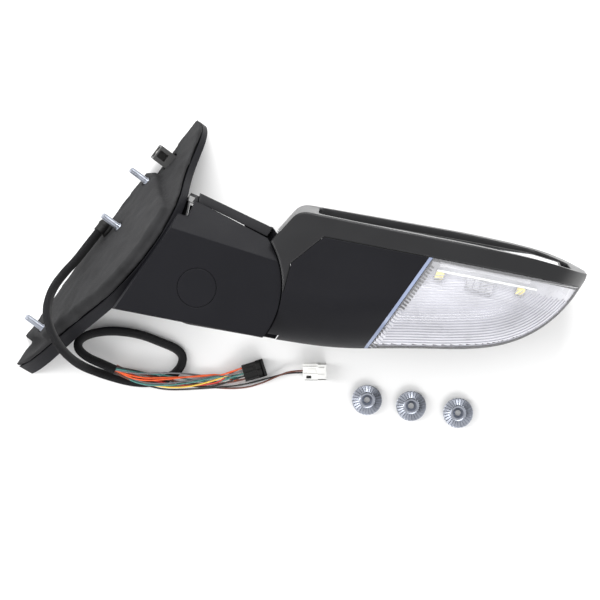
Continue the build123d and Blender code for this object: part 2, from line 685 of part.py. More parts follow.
def glass_carrier():
    plate = glass_slab(1.2, 10.5, 12.8)
    rim = glass_slab(0, 11.2, 15.6) - glass_slab(1.5, 10, 17)
    cup = Pos(0, 8.6, 0) * (Rot(90, 0, 0) * (Cylinder(15.0, 4.0) - Cylinder(12.8, 6.0)))
    carrier = plate + rim + socket(JACK_ARM, 0) + socket(0, JACK_ARM) + cup
    for z in (10.9, -14.3):
        carrier += box(-4, 4, -3.5, 10.6, z, z + 3.4)
    carrier += Cylinder(PIN_R, 28.6) - Cylinder(5, 17.0)
    return GLASS * biggest(carrier)


def heater_pad():
    return GLASS * glass_slab(4.0, 12.85, 13.35)


def mirror_glass():
    return GLASS * glass_slab(1.9, 13.4, 13.4 + GLASS_THICK)


def gimbal():
    """Cross frame of the universal joint: tilts on pins along X, carries the glass on pins along Z."""
    frame = Box(16.0, 6.4, 20.8) - Box(11.4, 8.0, 14.8) - Cylinder(PIN_R + 0.05, 40)
    pins = Rot(0, 90, 0) * (Cylinder(PIN_R, 28.4) - Cylinder(5, 15.0))
    return GLASS * biggest(frame + pins)


def actuator_base():
    case = box(-46, 46, CASE_BOTTOM, CASE_TOP - 2.6, -20, 38)
    case -= box(-43.5, 43.5, CASE_BOTTOM + 2.0, CASE_TOP, -17.5, 35.5)
    for x, z in ACTUATOR_SCREWS:
        case += Pos(x, CASE_BOTTOM + 4, z) * (Rot(90, 0, 0) * Cylinder(4.4, 8))
    for x, z in ACTUATOR_SCREWS:
        case -= Pos(x, CASE_BOTTOM, z) * (Rot(90, 0, 0) * Cylinder(SCREW_R + 0.02, 30))
    return GLASS * case


def actuator_cover():
    top = box(-46, 46, CASE_TOP - 2.4, CASE_TOP, -20, 38)
    for x, z in ((JACK_ARM, 0), (0, JACK_ARM)):
        top -= Pos(x, CASE_TOP, z) * (Rot(90, 0, 0) * Cylinder(5.1, 10))
    for x in (-14.4, 11.8):
        top += box(x, x + 2.6, CASE_TOP - 0.5, 2.6, -5, 5)
    return GLASS * (top - Rot(0, 90, 0) * Cylinder(PIN_R + 0.05, 40))


def jack_screw(x, z):
    screw = Pos(x, -9.5, z) * (Rot(90, 0, 0) * Cylinder(3.4, 16.2)) + Pos(x, 0, z) * Sphere(4.0)
    for i in range(4):
        screw += Pos(x, -16 + 2.2 * i, z) * (Rot(90, 0, 0) * Cylinder(4.4, 0.9))
    return GLASS * screw


def adjust_motors():
    cans = [Pos(x, -17.6, z) * (Rot(0, 90, 0) * Cylinder(4.2, 24)) for x, z in ((-22, 27), (20, -11))]
    return GLASS * Compound(cans)


def actuator_screws():
    out = []
    for x, z in ACTUATOR_SCREWS:
        shank = Pos(x, CASE_BOTTOM + 1.0, z) * (Rot(90, 0, 0) * Cylinder(SCREW_R, 20))
        head = Pos(x, CASE_BOTTOM + 9.1, z) * (Rot(90, 0, 0) * Cylinder(3.6, 2.2))
        out.append(shank + head)
    return GLASS * Compound(out)


# ---- wiring and loose nuts ------------------------------------------------------------------
def plug_body(rear, turn, length, width):
    """Connector housing with its mating end open; rear is the middle of its back face."""
    height, depth = 13.8, 6.5
    body = Pos(length / 2, 0, 0) * Box(length, width, height)
    body -= Pos(length - depth / 2 + 0.1, 0, 0.6) * Box(depth + 0.2, width - 3.4, height - 3.6)
    return Location(rear, (0, 0, turn)) * body


def black_connector():
    return plug_body(BLACK_PLUG, BLACK_TURN, 20.0, 16.0)


def white_connector():
    return plug_body(WHITE_PLUG, WHITE_TURN, 21.0, 15.5)


def flange_nuts():
    """M6 nuts with a wide serrated flange, lying flange up."""
    out = []
    for x, y in NUT_PLACES:
        nut = extrude(RegularPolygon(10.0 / math.sqrt(3), 6), 4.0)
        nut += Pos(0, 0, 4.0) * extrude(Circle(FLANGE_R), 2.2)
        nut -= Cylinder(2.65, 30) + Pos(0, 0, 5.0) * Cone(2.65, 5.0, 2.41)
        for i in range(24):
            nut -= Rot(0, 0, 15 * i) * Pos((FLANGE_R + 7.6) / 2, 0, 6.2) * Box(FLANGE_R - 7.0, 0.9, 1.0)
        out.append(Pos(x, y, 0) * nut)
    return Compound(out)


# ---- write every part -----------------------------------------------------------------------
PARTS = {
    "bezel": bezel,
    "base_seal": base_seal,
    "base_bracket": base_bracket,
    "mounting_studs": studs,
    "locating_clip": locating_clip,
    "clip_spring": clip_spring,
    "harness_boot": harness_boot,
    "sail_cover": sail_cover,
    "arm_lower_cover": arm_lower_cover,
    "arm_rear_strip": arm_rear_strip,
    "neck_collar": neck_collar,
    "arm_floor": arm_floor,
    "arm_upper_cover": arm_upper_cover,
    "pivot_plug": pivot_plug,
    "cover_screws": cover_screws,
    "pivot_shaft": pivot_shaft,
    "fixed_detent": fixed_detent,
    "moving_detent": moving_detent,
    "fold_gear": fold_gear,
    "fold_worm": fold_worm,
    "fold_motor": fold_motor,
    "pivot_spring": pivot_spring,
    "spring_retainer": spring_retainer,
    "head_frame": head_frame,
    "hub_cover": hub_cover,
    "skull_cap": skull_cap,
    "lower_cover": lower_cover,
    "signal_lens": signal_lens,
    "lens_gasket": lens_gasket,
    "lamp_housing": lamp_housing,
    "led_board": led_board,
    "light_guide": light_guide,
    "signal_leds": signal_leds,
    "puddle_lamp": puddle_lamp,
    "glass_carrier": glass_carrier,
    "heater_pad": heater_pad,
    "mirror_glass": mirror_glass,
    "gimbal": gimbal,
    "actuator_base": actuator_base,
    "actuator_cover": actuator_cover,
    "jack_screw_side": lambda: jack_screw(JACK_ARM, 0),
    "jack_screw_up": lambda: jack_screw(0, JACK_ARM),
    "adjust_motors": adjust_motors,
    "actuator_screws": actuator_screws,
    "harness_bundle": lambda: tube(BUNDLE_ROUTE, BUNDLE_D, "harness_bundle"),
    "wire_loom": lambda: tube(LOOM_ROUTE, LOOM_D, "wire_loom"),
    "wire_pair": lambda: tube(PAIR_ROUTE, PAIR_D, "wire_pair"),
    "black_connector": black_connector,
    "white_connector": white_connector,
    "flange_nuts": flange_nuts,
}

if __name__ == "__main__":
    os.makedirs("parts", exist_ok=True)
    for name, make in PARTS.items():
        shape = Pos(*ORIGIN_SHIFT) * make()
        export_step(shape, f"parts/{name}.step")
        size = shape.bounding_box()
        print(name, len(shape.solids()), "solids", round(shape.volume), size.min, size.max)
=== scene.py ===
import json
import math

import bmesh
import bpy
from mathutils import Matrix, Vector
from mathutils.bvhtree import BVHTree


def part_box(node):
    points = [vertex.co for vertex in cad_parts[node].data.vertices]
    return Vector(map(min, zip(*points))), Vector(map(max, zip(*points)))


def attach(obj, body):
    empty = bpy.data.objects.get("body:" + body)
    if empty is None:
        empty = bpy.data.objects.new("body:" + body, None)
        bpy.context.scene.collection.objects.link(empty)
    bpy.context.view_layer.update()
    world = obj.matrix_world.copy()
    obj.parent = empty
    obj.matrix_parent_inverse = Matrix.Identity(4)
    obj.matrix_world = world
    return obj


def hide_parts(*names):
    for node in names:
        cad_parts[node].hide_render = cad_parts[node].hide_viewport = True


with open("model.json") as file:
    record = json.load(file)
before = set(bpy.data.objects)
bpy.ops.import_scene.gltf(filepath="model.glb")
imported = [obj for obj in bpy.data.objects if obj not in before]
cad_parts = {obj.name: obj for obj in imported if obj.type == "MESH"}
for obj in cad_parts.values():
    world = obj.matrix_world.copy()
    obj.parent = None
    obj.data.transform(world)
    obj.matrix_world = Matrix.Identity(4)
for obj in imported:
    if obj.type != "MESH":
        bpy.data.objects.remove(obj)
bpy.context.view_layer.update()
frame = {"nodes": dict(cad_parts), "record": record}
NODES = frame["nodes"]
MM = 0.001
SHIFT = Vector((-91.5, -19.5, 0.0))     # from the fold axis to the row's origin, mm


def at(x, y, z):
    """A point given about the fold axis in mm, as metres in the row frame."""
    return (Vector((x, y, z)) + SHIFT) * MM


# ---- camera and light ---------------------------------------------------------------------
def camera():
    data = bpy.data.cameras.new("camera")
    data.sensor_width = 36.0
    data.lens = 199.1
    data.clip_end = 20.0
    obj = bpy.data.objects.new("camera", data)
    obj.location = (-0.0010, -0.0157, 3.0)
    obj.rotation_euler = (0.0, 0.0, math.radians(11.0))
    bpy.context.scene.collection.objects.link(obj)
    bpy.context.scene.camera = obj


def area_light(name, place, target, size, power):
    data = bpy.data.lights.new(name, "AREA")
    data.shape = "RECTANGLE"
    data.size, data.size_y = size
    data.energy = power
    obj = bpy.data.objects.new(name, data)
    obj.location = place
    obj.rotation_euler = (Vector(target) - Vector(place)).to_track_quat("-Z", "Y").to_euler()
    bpy.context.scene.collection.objects.link(obj)


def studio():
    world = bpy.data.worlds.new("studio")
    bpy.context.scene.world = world
    world.use_nodes = True
    world.node_tree.nodes["Background"].inputs[0].default_value = (1.0, 1.0, 1.0, 1.0)
    world.node_tree.nodes["Background"].inputs[1].default_value = 1.0
    bpy.context.scene.view_settings.view_transform = "Standard"
    area_light("softbox_rear", (-0.25, 1.25, 1.1), (0.0, 0.0, 0.05), (1.2, 0.5), 30)
    area_light("softbox_left", (-1.3, -0.2, 0.9), (0.0, 0.0, 0.05), (0.5, 1.2), 12)
    area_light("softbox_front", (0.6, -1.2, 1.0), (0.0, 0.0, 0.05), (1.2, 0.5), 10)
    bpy.ops.mesh.primitive_plane_add(size=12.0, location=(0, 0, 0))
    floor = bpy.context.object
    floor.name = "floor"
    mat = bpy.data.materials.new("floor")
    mat.use_nodes = True
    shader = mat.node_tree.nodes["Principled BSDF"]
    shader.inputs["Base Color"].default_value = (0.9, 0.9, 0.9, 1.0)
    shader.inputs["Roughness"].default_value = 0.9
    shader.inputs["Specular IOR Level"].default_value = 0.1
    floor.data.materials.append(mat)


# ---- materials ------------------------------------------------------------------------------
def link(tree, a, b):
    tree.links.new(a, b)


def noise(tree, coords, scale, detail=3.0, rough=0.55):
    n = tree.nodes.new("ShaderNodeTexNoise")
    n.inputs["Scale"].default_value = scale
    n.inputs["Detail"].default_value = detail
    n.inputs["Roughness"].default_value = rough
    link(tree, coords, n.inputs["Vector"])
    return n.outputs["Fac"]


def remap(tree, value, low, high):
    m = tree.nodes.new("ShaderNodeMapRange")
    m.inputs["From Min"].default_value = 0.3
    m.inputs["From Max"].default_value = 0.7
    m.inputs["To Min"].default_value = low
    m.inputs["To Max"].default_value = high
    link(tree, value, m.inputs["Value"])
    return m.outputs["Result"]


def between(tree, value, dark, light):
    ramp = tree.nodes.new("ShaderNodeValToRGB")
    ramp.color_ramp.elements[0].position = 0.3
    ramp.color_ramp.elements[0].color = (*dark, 1.0)
    ramp.color_ramp.elements[1].position = 0.7
    ramp.color_ramp.elements[1].color = (*light, 1.0)
    link(tree, value, ramp.inputs["Fac"])
    return ramp.outputs["Color"]


def surface(name, colour, rough, metal=0.0, spec=0.5, grain=(900.0, 0.0001), patches=(35.0, 0.12),
            soft_edge=0.0, coat=0.0, alpha=1.0, brushed=None, sheen=0.0):
    """One procedural material: colour and roughness patches, grain in the bump, rounded edges."""
    mat = bpy.data.materials.new(name)
    mat.use_nodes = True
    tree = mat.node_tree
    shader = tree.nodes["Principled BSDF"]
    coords = tree.nodes.new("ShaderNodeTexCoord").outputs["Object"]
    if brushed:
        stretch = tree.nodes.new("ShaderNodeMapping")
        stretch.inputs["Scale"].default_value = brushed
        link(tree, coords, stretch.inputs["Vector"])
        coords = stretch.outputs["Vector"]
    patch = noise(tree, coords, patches[0])
    k = patches[1]
    dark = tuple(c * (1 - k) for c in colour)
    light = tuple(min(1.0, c * (1 + k)) for c in colour)
    link(tree, between(tree, patch, dark, light), shader.inputs["Base Color"])
    link(tree, remap(tree, patch, rough - 0.05, rough + 0.05), shader.inputs["Roughness"])
    shader.inputs["Metallic"].default_value = metal
    shader.inputs["Specular IOR Level"].default_value = spec
    shader.inputs["Coat Weight"].default_value = coat
    shader.inputs["Coat Roughness"].default_value = 0.08
    shader.inputs["Alpha"].default_value = alpha
    shader.inputs["Sheen Weight"].default_value = sheen
    bump = tree.nodes.new("ShaderNodeBump")
    bump.inputs["Distance"].default_value = grain[1]
    bump.inputs["Strength"].default_value = 1.0
    link(tree, noise(tree, coords, grain[0], 2.0), bump.inputs["Height"])
    if soft_edge:
        bevel = tree.nodes.new("ShaderNodeBevel")
        bevel.samples = 6
        bevel.inputs["Radius"].default_value = soft_edge
        link(tree, bevel.outputs["Normal"], bump.inputs["Normal"])
    link(tree, bump.outputs["Normal"], shader.inputs["Normal"])
    return mat


def tape(name):
    """Fleece tape wound in a spiral: the overlap of each turn is a step along the curve."""
    mat = surface(name, (0.010, 0.010, 0.011), 0.85, spec=0.15, sheen=0.06)
    tree = mat.node_tree
    uv = tree.nodes.new("ShaderNodeTexCoord").outputs["UV"]
    wave = tree.nodes.new("ShaderNodeTexWave")
    wave.wave_type = "BANDS"
    wave.bands_direction = "DIAGONAL"
    wave.wave_profile = "SAW"
    wave.inputs["Scale"].default_value = 12.0
    wave.inputs["Distortion"].default_value = 1.2
    wave.inputs["Detail"].default_value = 1.0
    link(tree, uv, wave.inputs["Vector"])
    bump = tree.nodes.new("ShaderNodeBump")
    bump.inputs["Distance"].default_value = 0.0009
    link(tree, wave.outputs["Fac"], bump.inputs["Height"])
    old = [n for n in tree.nodes if n.type == "BUMP" and n != bump][0]
    link(tree, old.outputs["Normal"], bump.inputs["Normal"])
    link(tree, bump.outputs["Normal"], tree.nodes["Principled BSDF"].inputs["Normal"])
    return mat


MATS = {
    "foam": surface("foam", (0.020, 0.020, 0.021), 0.8, spec=0.14, grain=(1400.0, 0.00025),
                    patches=(60, 0.25),
                    soft_edge=0.002),
    "casting": surface("casting", (0.010, 0.010, 0.010), 0.5, spec=0.4, grain=(500.0, 0.0002),
                       soft_edge=0.001),
    "zinc": surface("zinc", (0.34, 0.36, 0.41), 0.3, metal=1.0, grain=(1500.0, 0.00003),
                    patches=(120, 0.15)),
    "clip_plastic": surface("clip_plastic", (0.05, 0.05, 0.05), 0.35, grain=(900.0, 0.00005),
                            soft_edge=0.0005),
    "spring_steel": surface("spring_steel", (0.35, 0.33, 0.30), 0.35, metal=1.0, patches=(200, 0.2)),
    "rubber": surface("rubber", (0.008, 0.008, 0.008), 0.6, spec=0.25, grain=(800.0, 0.0001),
                      soft_edge=0.0008),
    "black_plastic": surface("black_plastic", (0.005, 0.005, 0.0068), 0.5, spec=0.13,
                             grain=(2600.0, 0.00012),
                             patches=(18, 0.08), soft_edge=0.0012),
    "grey_plastic": surface("grey_plastic", (0.014, 0.014, 0.016), 0.5, spec=0.3, grain=(2600.0, 0.0001),
                            soft_edge=0.001),
    "steel": surface("steel", (0.5, 0.5, 0.5), 0.3, metal=1.0, brushed=(1.0, 1.0, 12.0)),
    "gear_plastic": surface("gear_plastic", (0.75, 0.74, 0.70), 0.4, soft_edge=0.0004),
    "motor_can": surface("motor_can", (0.6, 0.6, 0.58), 0.25, metal=1.0, brushed=(20.0, 1.0, 1.0)),
    "frame_plastic": surface("frame_plastic", (0.03, 0.03, 0.03), 0.55, grain=(700.0, 0.0002),
                             soft_edge=0.001),
    "cap_paint": surface("cap_paint", (0.004, 0.004, 0.005), 0.28, spec=0.3, grain=(3000.0, 0.00001),
                         patches=(12, 0.1), soft_edge=0.001, coat=0.4),
    # The blue-grey of lens_seal is painted reflection: it stands for the light seen in the thick clear edge
    # of the lens, drawn as an opaque strip.
    "lens_seal": surface("lens_seal", (0.20, 0.235, 0.34), 0.25, spec=0.5, grain=(700.0, 0.00005)),
    "bezel_plastic": surface("bezel_plastic", (0.008, 0.008, 0.009), 0.33, spec=0.35,
                             grain=(2600.0, 0.00003),
                             patches=(18, 0.1), soft_edge=0.003),
    "lamp_white": surface("lamp_white", (0.60, 0.60, 0.64), 0.3, spec=0.5, grain=(700.0, 0.00003)),
    "circuit_board": surface("circuit_board", (0.8, 0.82, 0.8), 0.45, patches=(500, 0.1)),
    "led_body": surface("led_body", (0.9, 0.78, 0.25), 0.3, patches=(900, 0.1)),
    "carrier_plastic": surface("carrier_plastic", (0.03, 0.03, 0.03), 0.5, soft_edge=0.0008),
    "heater_foil": surface("heater_foil", (0.12, 0.12, 0.12), 0.4, patches=(150, 0.3)),
    "mirror": surface("mirror", (0.92, 0.93, 0.95), 0.06, metal=1.0, grain=(40.0, 0.000002),
                      patches=(6, 0.02)),
    "connector_black": surface("connector_black", (0.006, 0.006, 0.006), 0.38, spec=0.3,
                               grain=(1500.0, 0.00004)),
    "connector_white": surface("connector_white", (0.82, 0.82, 0.80), 0.4, grain=(1500.0, 0.00004)),
    "cloth_tape": tape("cloth_tape"),
    # Near-black; on the white connector it is painted shade, standing in for the insides of its open
    # windows.
    "dark_inside": surface("dark_inside", (0.008, 0.008, 0.008), 0.7),
    "chrome_optic": surface("chrome_optic", (0.42, 0.42, 0.45), 0.15, metal=1.0, grain=(1200.0, 0.00002)),
    "rib_grey": surface("rib_grey", (0.34, 0.34, 0.39), 0.3, grain=(900.0, 0.00002)),
    "clear_lens": surface("clear_lens", (0.93, 0.93, 0.96), 0.06, spec=0.5, grain=(60.0, 0.00003),
                          patches=(20, 0.02), alpha=0.10, coat=0.2),
    "clear_guide": surface("clear_guide", (0.9, 0.9, 0.93), 0.05, spec=0.6, grain=(90.0, 0.00005),
                           patches=(90, 0.05), alpha=0.4, coat=0.5),
}
WIRE_COLOURS = {
    "orange": (0.80, 0.11, 0.025), "red": (0.55, 0.04, 0.03), "yellow": (0.85, 0.55, 0.08),
    "teal": (0.06, 0.22, 0.20), "brown": (0.14, 0.045, 0.03), "black": (0.015, 0.015, 0.015),
    "grey": (0.16, 0.16, 0.17),
}
for colour_name, colour in WIRE_COLOURS.items():
    MATS["wire_" + colour_name] = surface("wire_" + colour_name, colour, 0.38, patches=(300, 0.12),
                                          grain=(1200.0, 0.00004))


def dress(obj, key):
    obj.data.materials.clear()
    obj.data.materials.append(MATS[key])


def dress_cad():
    """Each CAD node gets the material of its slot."""
    for entry in frame["record"]["subparts"]:
        slot = entry["material_slot"]
        dress(NODES[entry["node"]], slot if slot in MATS else "rubber")


# ---- mesh helpers -----------------------------------------------------------------------------
def new_piece(name, verts, faces, key, body, slot=None, smooth=True):
    mesh = bpy.data.meshes.new(name)
    mesh.from_pydata([tuple(v) for v in verts], [], faces)
    mesh.update()
    obj = bpy.data.objects.new(name, mesh)
    bpy.context.scene.collection.objects.link(obj)
    dress(obj, key)
    if smooth:
        mesh.shade_smooth()
    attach(obj, body)
    return obj


def tube_faces(rings, count, closed=False, caps=True):
    faces = []
    steps = rings if closed else rings - 1
    for i in range(steps):
        for j in range(count):
            a, b = i * count + j, i * count + (j + 1) % count
            c, d = ((i + 1) % rings) * count + (j + 1) % count, ((i + 1) % rings) * count + j
            faces.append((a, b, c, d))
    if caps and not closed:
        faces.append(tuple(reversed(range(count))))
        faces.append(tuple((rings - 1) * count + j for j in range(count)))
    return faces


def block(bm, low, high, place=Matrix.Identity(4)):
    """One box between two corners, in mm, placed by a matrix in metres."""
    corners = [Vector((x, y, z)) * MM for x in (low[0], high[0]) for y in (low[1], high[1])
               for z in (low[2], high[2])]
    v = [bm.verts.new(place @ c) for c in corners]
    for quad in ((0, 1, 3, 2), (4, 6, 7, 5), (0, 4, 5, 1), (2, 3, 7, 6), (0, 2, 6, 4), (1, 5, 7, 3)):
        bm.faces.new([v[i] for i in quad])


def boxes(name, items, key, body, place=Matrix.Identity(4), bevel=0.4):
    """A moulded piece made of several rounded blocks."""
    bm = bmesh.new()
    for low, high in items:
        block(bm, low, high, place)
    bmesh.ops.recalc_face_normals(bm, faces=bm.faces)
    mesh = bpy.data.meshes.new(name)
    bm.to_mesh(mesh)
    bm.free()
    obj = bpy.data.objects.new(name, mesh)
    bpy.context.scene.collection.objects.link(obj)
    dress(obj, key)
    rounding = obj.modifiers.new("rounding", "BEVEL")
    rounding.width = bevel * MM
    rounding.segments = 3
    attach(obj, body)
    return obj


# ---- cords --------------------------------------------------------------------------------------
BUNDLE_ROUTE = [
    (-98.9, 29.2, 17.8), (-105.4, 16.4, 21.5), (-112.5, 1.2, 28.6), (-121.5, -14.0, 39),
    (-128.0, -30.0, 52), (-128.5, -47.5, 65), (-121.5, -63.5, 72), (-111.5, -76.0, 68),
    (-101.5, -85.0, 52), (-91.5, -91.0, 30), (-79.5, -94.5, 11), (-62.5, -97.0, 4.2),
    (-43.5, -98.0, 4.0), (-27.0, -95.5, 4.0), (-12.5, -88.5, 4.0), (-4.0, -78.0, 4.0),
    (-2.5, -67.0, 4.0), (-10.0, -60.5, 4.0), (-26.0, -57.5, 4.0), (-45.5, -54.0, 4.0),
    (-67.5, -55.0, 4.0), (-86.5, -60.5, 7.0), (-97.5, -68.0, 15.0), (-98.0, -76.5, 20.0),
    (-88.5, -83.0, 19.0), (-73.5, -86.5, 15.5), (-61.0, -89.5, 13.5),
]
LOOM_ROUTE = [
    (-60.7, -88.24, 13.5), (-48.2, -91.24, 11.5), (-33.5, -92.0, 12.0), (-20.0, -90.5, 12.5),
    (-6.5, -89.0, 11.5), (8.5, -86.5, 6.5), (21.5, -83.5, 4.0), (33.5, -80.0, 5.0), (45.26, -75.23, 7.0),
    (53.2, -71.0, 7.0),
]
PAIR_ROUTE = [
    (-61.62, -92.08, 13.5), (-49.12, -95.08, 11.5), (-32.0, -98.0, 10.0), (-14.0, -97.5, 6.5),
    (4.0, -93.5, 2.5), (21.5, -90.0, 1.5), (39.0, -87.0, 1.5), (57.0, -82.0, 1.5),
    (72.0, -74.5, 1.5), (84.0, -67.0, 4.0), (95.5, -61.1, 7.0), (105.3, -59.2, 7.0),
]
BUNDLE_D, WIRE_D = 8.0, 1.5
BLACK_PLUG, BLACK_TURN = (53.2, -71.0, 7.0), 28.0     # middle of the rear face in mm, turn in degrees
WHITE_PLUG, WHITE_TURN = (105.3, -59.2, 7.0), 11.0


def cord_curve(name, points, diameter, key, body, radii=None):
    data = bpy.data.curves.new(name, "CURVE")
    data.dimensions = "3D"
    data.bevel_depth = diameter / 2 * MM
    data.bevel_resolution = 6
    data.resolution_u = 16
    data.use_fill_caps = True
    spline = data.splines.new("NURBS")
    spline.points.add(len(points) - 1)
    for i, p in enumerate(points):
        spline.points[i].co = (*at(*p), 1.0)
        spline.points[i].radius = radii[i] if radii else 1.0
    spline.order_u = 3
    spline.use_endpoint_u = True
    obj = bpy.data.objects.new(name, data)
    bpy.context.scene.collection.objects.link(obj)
    data.materials.append(MATS[key])
    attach(obj, body)
    return obj


def line_of(obj):
    """Points along a curve object's own centre line."""
    bare = obj.data.copy()
    bare.bevel_depth = 0.0
    temp = bpy.data.objects.new("line_only", bare)
    bpy.context.scene.collection.objects.link(temp)
    bpy.context.view_layer.update()
    mesh = bpy.data.meshes.new_from_object(temp.evaluated_get(bpy.context.evaluated_depsgraph_get()))
    points = [v.co.copy() for v in mesh.vertices]
    bpy.data.objects.remove(temp)
    return points


def length_of(points):
    return sum((b - a).length for a, b in zip(points, points[1:]))


def wire_run(route, start, end, spread, turns, phase):
    """A wire's points: the route moved sideways and up by an offset that winds round it."""
    pts = [Vector(p) for p in route]
    out = []
    for j, p in enumerate(pts):
        ahead = pts[min(j + 1, len(pts) - 1)] - pts[max(j - 1, 0)]
        side = Vector((ahead.y, -ahead.x, 0)).normalized()
        share = j / (len(pts) - 1)
        if j == 0:
            across, up = start
        elif j >= len(pts) - 2:
            across, up = end
        else:
            a = phase + turns * 2 * math.pi * share
            wide = spread * math.sin(math.pi * (0.12 + 0.82 * share))
            across, up = wide * math.cos(a), 0.34 * wide * math.sin(a)
        q = p + side * across
        q.z = max(p.z + up, WIRE_D / 2 + 0.15)
        out.append(tuple(q))
    return out


def wiring(black_housing, white_housing):
    radii = [1.0 + 0.03 * math.sin(2.3 * i) for i in range(len(BUNDLE_ROUTE))]
    bundle = cord_curve("taped_bundle", BUNDLE_ROUTE, BUNDLE_D, "cloth_tape", "base", radii)
    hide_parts("harness_bundle")
    names = ["orange", "grey", "teal", "black", "brown", "red", "yellow", "grey", "teal", "orange"]
    for i, colour_name in enumerate(names):
        a = 2 * math.pi * i / len(names)
        start = (2.6 * math.cos(a) - 0.6, 2.4 * math.sin(a))
        end = (2.5 * (i % 5 - 2), 2.1 if i < 5 else -2.1)
        spread = 4.4 + 3.2 * ((i * 3) % 5) / 4
        points = wire_run(LOOM_ROUTE, start, end, spread, 0.5 + 0.09 * (i % 4), a + 0.9)
        wire = cord_curve(f"wire_{i}_{colour_name}", points, WIRE_D, "wire_" + colour_name, "base")
        if i == 0:
            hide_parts("wire_loom")
        round(length_of(line_of(wire)), 4)
    for i, colour_name in enumerate(("brown", "black")):
        side = 0.85 if i else -0.85
        points = wire_run(PAIR_ROUTE, (side, 0), (side, 0), 1.9, 1.5, math.pi * i)
        wire = cord_curve(f"pair_{i}_{colour_name}", points, WIRE_D, "wire_" + colour_name, "base")
        if i == 0:
            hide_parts("wire_pair")
        round(length_of(line_of(wire)), 4)


def turned(place, degrees):
    return Matrix.Translation(at(*place)) @ Matrix.Rotation(math.radians(degrees), 4, "Z")


def connectors():
    """Two housings; the open mating end is at the far end, the wires go in at x = 0."""
    place = turned(BLACK_PLUG, BLACK_TURN)
    shell = [((0, -7.6, -6.5), (13, 7.6, 6.1)), ((12.6, -8, -6.9), (20, 8, -5.2)),
             ((12.6, -8, 5.2), (20, 8, 6.9)),
             ((12.6, -8, -6.9), (20, -6.6, 6.9)), ((12.6, 6.6, -6.9), (20, 8, 6.9)),
             ((1, -6.6, 5.6), (18, -5.2, 6.9)), ((1, -1.0, 5.6), (18, 0.4, 6.9)),
             ((1, 5.2, 5.6), (18, 6.6, 6.9)),
             ((3, 1.4, 5.8), (10, 4.2, 6.9)), ((16.4, -8.0, 5.6), (18.2, 8.0, 6.9)),
             ((5, -8.0, -4), (16, -7.2, 4))]
    black = boxes("black_connector_housing", shell, "connector_black", "base", place, 0.35)
    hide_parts("black_connector")
    pins = [((9, y - 0.35, z - 0.35), (18, y + 0.35, z + 0.35)) for y in (-4.8, -2.4, 0, 2.4, 4.8)
            for z in (-2.2, 2.4)]
    boxes("black_connector_pins", pins, "zinc", "base", place, 0.1)
    place = turned(WHITE_PLUG, WHITE_TURN)
    shell = [((0, -7.0, -6.5), (14, 7.2, 6.0)), ((13.6, -7.6, -6.9), (21, 7.6, -5.2)),
             ((13.6, -7.6, 5.2), (21, 7.6, 6.9)), ((13.6, -7.6, -6.9), (21, -6.2, 6.9)),
             ((13.6, 6.2, -6.9), (21, 7.6, 6.9)), ((0.6, 3.6, 5.6), (20, 4.8, 6.9)),
             ((0.6, -2.6, 5.6), (20, -1.6, 6.9)), ((4, -0.8, 5.6), (12, 2.8, 6.6)),
             ((0.4, 6.6, -3), (13, 7.6, 3))]
    white = boxes("white_connector_housing", shell, "connector_white", "base", place, 0.35)
    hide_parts("white_connector")
    # The dark boxes on the white housing are painted shade: they stand for the shaded insides of its open
    # windows, which are not cut.
    boxes("white_connector_window_shade", [((3.2, -6.0, 5.2), (7.6, -3.4, 6.3)),
                                   ((1.5, -7.7, -2.6), (20.4, -6.8, 2.2))],
          "dark_inside", "base", place, 0.15)
    pins = [((10, y - 0.5, -0.5), (19, y + 0.5, 0.6)) for y in (-2.5, 2.5)]
    boxes("white_connector_pins", pins, "zinc", "base", place, 0.1)
    return black, white


# ---- fasteners --------------------------------------------------------------------------------------
NUT_PLACES = [(167.1, -73.3), (207.2, -71.0), (250.0, -69.1)]


def nut_mesh(verts, faces, place, turn):
    """Flange nut, flange up, with radial serrations round a countersunk threaded bore."""
    teeth, steps = 26, 6
    count = teeth * steps
    profile = [(2.65, 0.0, 0), (3.0, 0.6, 0), (2.65, 1.1, 0), (3.0, 1.6, 0), (2.65, 2.1, 0), (3.0, 2.6, 0),
               (2.65, 3.1, 0), (3.0, 3.6, 0), (4.9, 6.0, 0), (6.2, 6.2, 0), (7.0, 5.9, 0), (7.6, 6.2, 1),
               (12.9, 5.9, 1), (13.5, 5.2, 0.2), (13.4, 4.3, 0), (6.6, 3.7, 2), (5.0, 3.4, 3),
               (5.0, 0.5, 3),
               (4.7, 0.0, 3)]
    base = len(verts)
    for r0, z0, kind in profile:
        for j in range(count):
            a = 2 * math.pi * j / count + turn
            saw = (j % steps) / (steps - 1)
            r, z = r0, z0
            if kind in (1, 0.2):
                z = z0 - kind * 0.75 * saw
            elif kind == 3:
                r = r0 / math.cos((a + math.pi / 6) % (math.pi / 3) - math.pi / 6)
            verts.append(at(place[0] + r * math.cos(a), place[1] + r * math.sin(a), z))
    faces.extend([tuple(base + i for i in f) for f in tube_faces(len(profile), count, closed=True)])


def nuts():
    verts, faces = [], []
    for i, place in enumerate(NUT_PLACES):
        nut_mesh(verts, faces, place, 0.4 * i)
    obj = new_piece("serrated_flange_nuts", verts, faces, "zinc", "base", "zinc", smooth=False)
    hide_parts("flange_nuts")


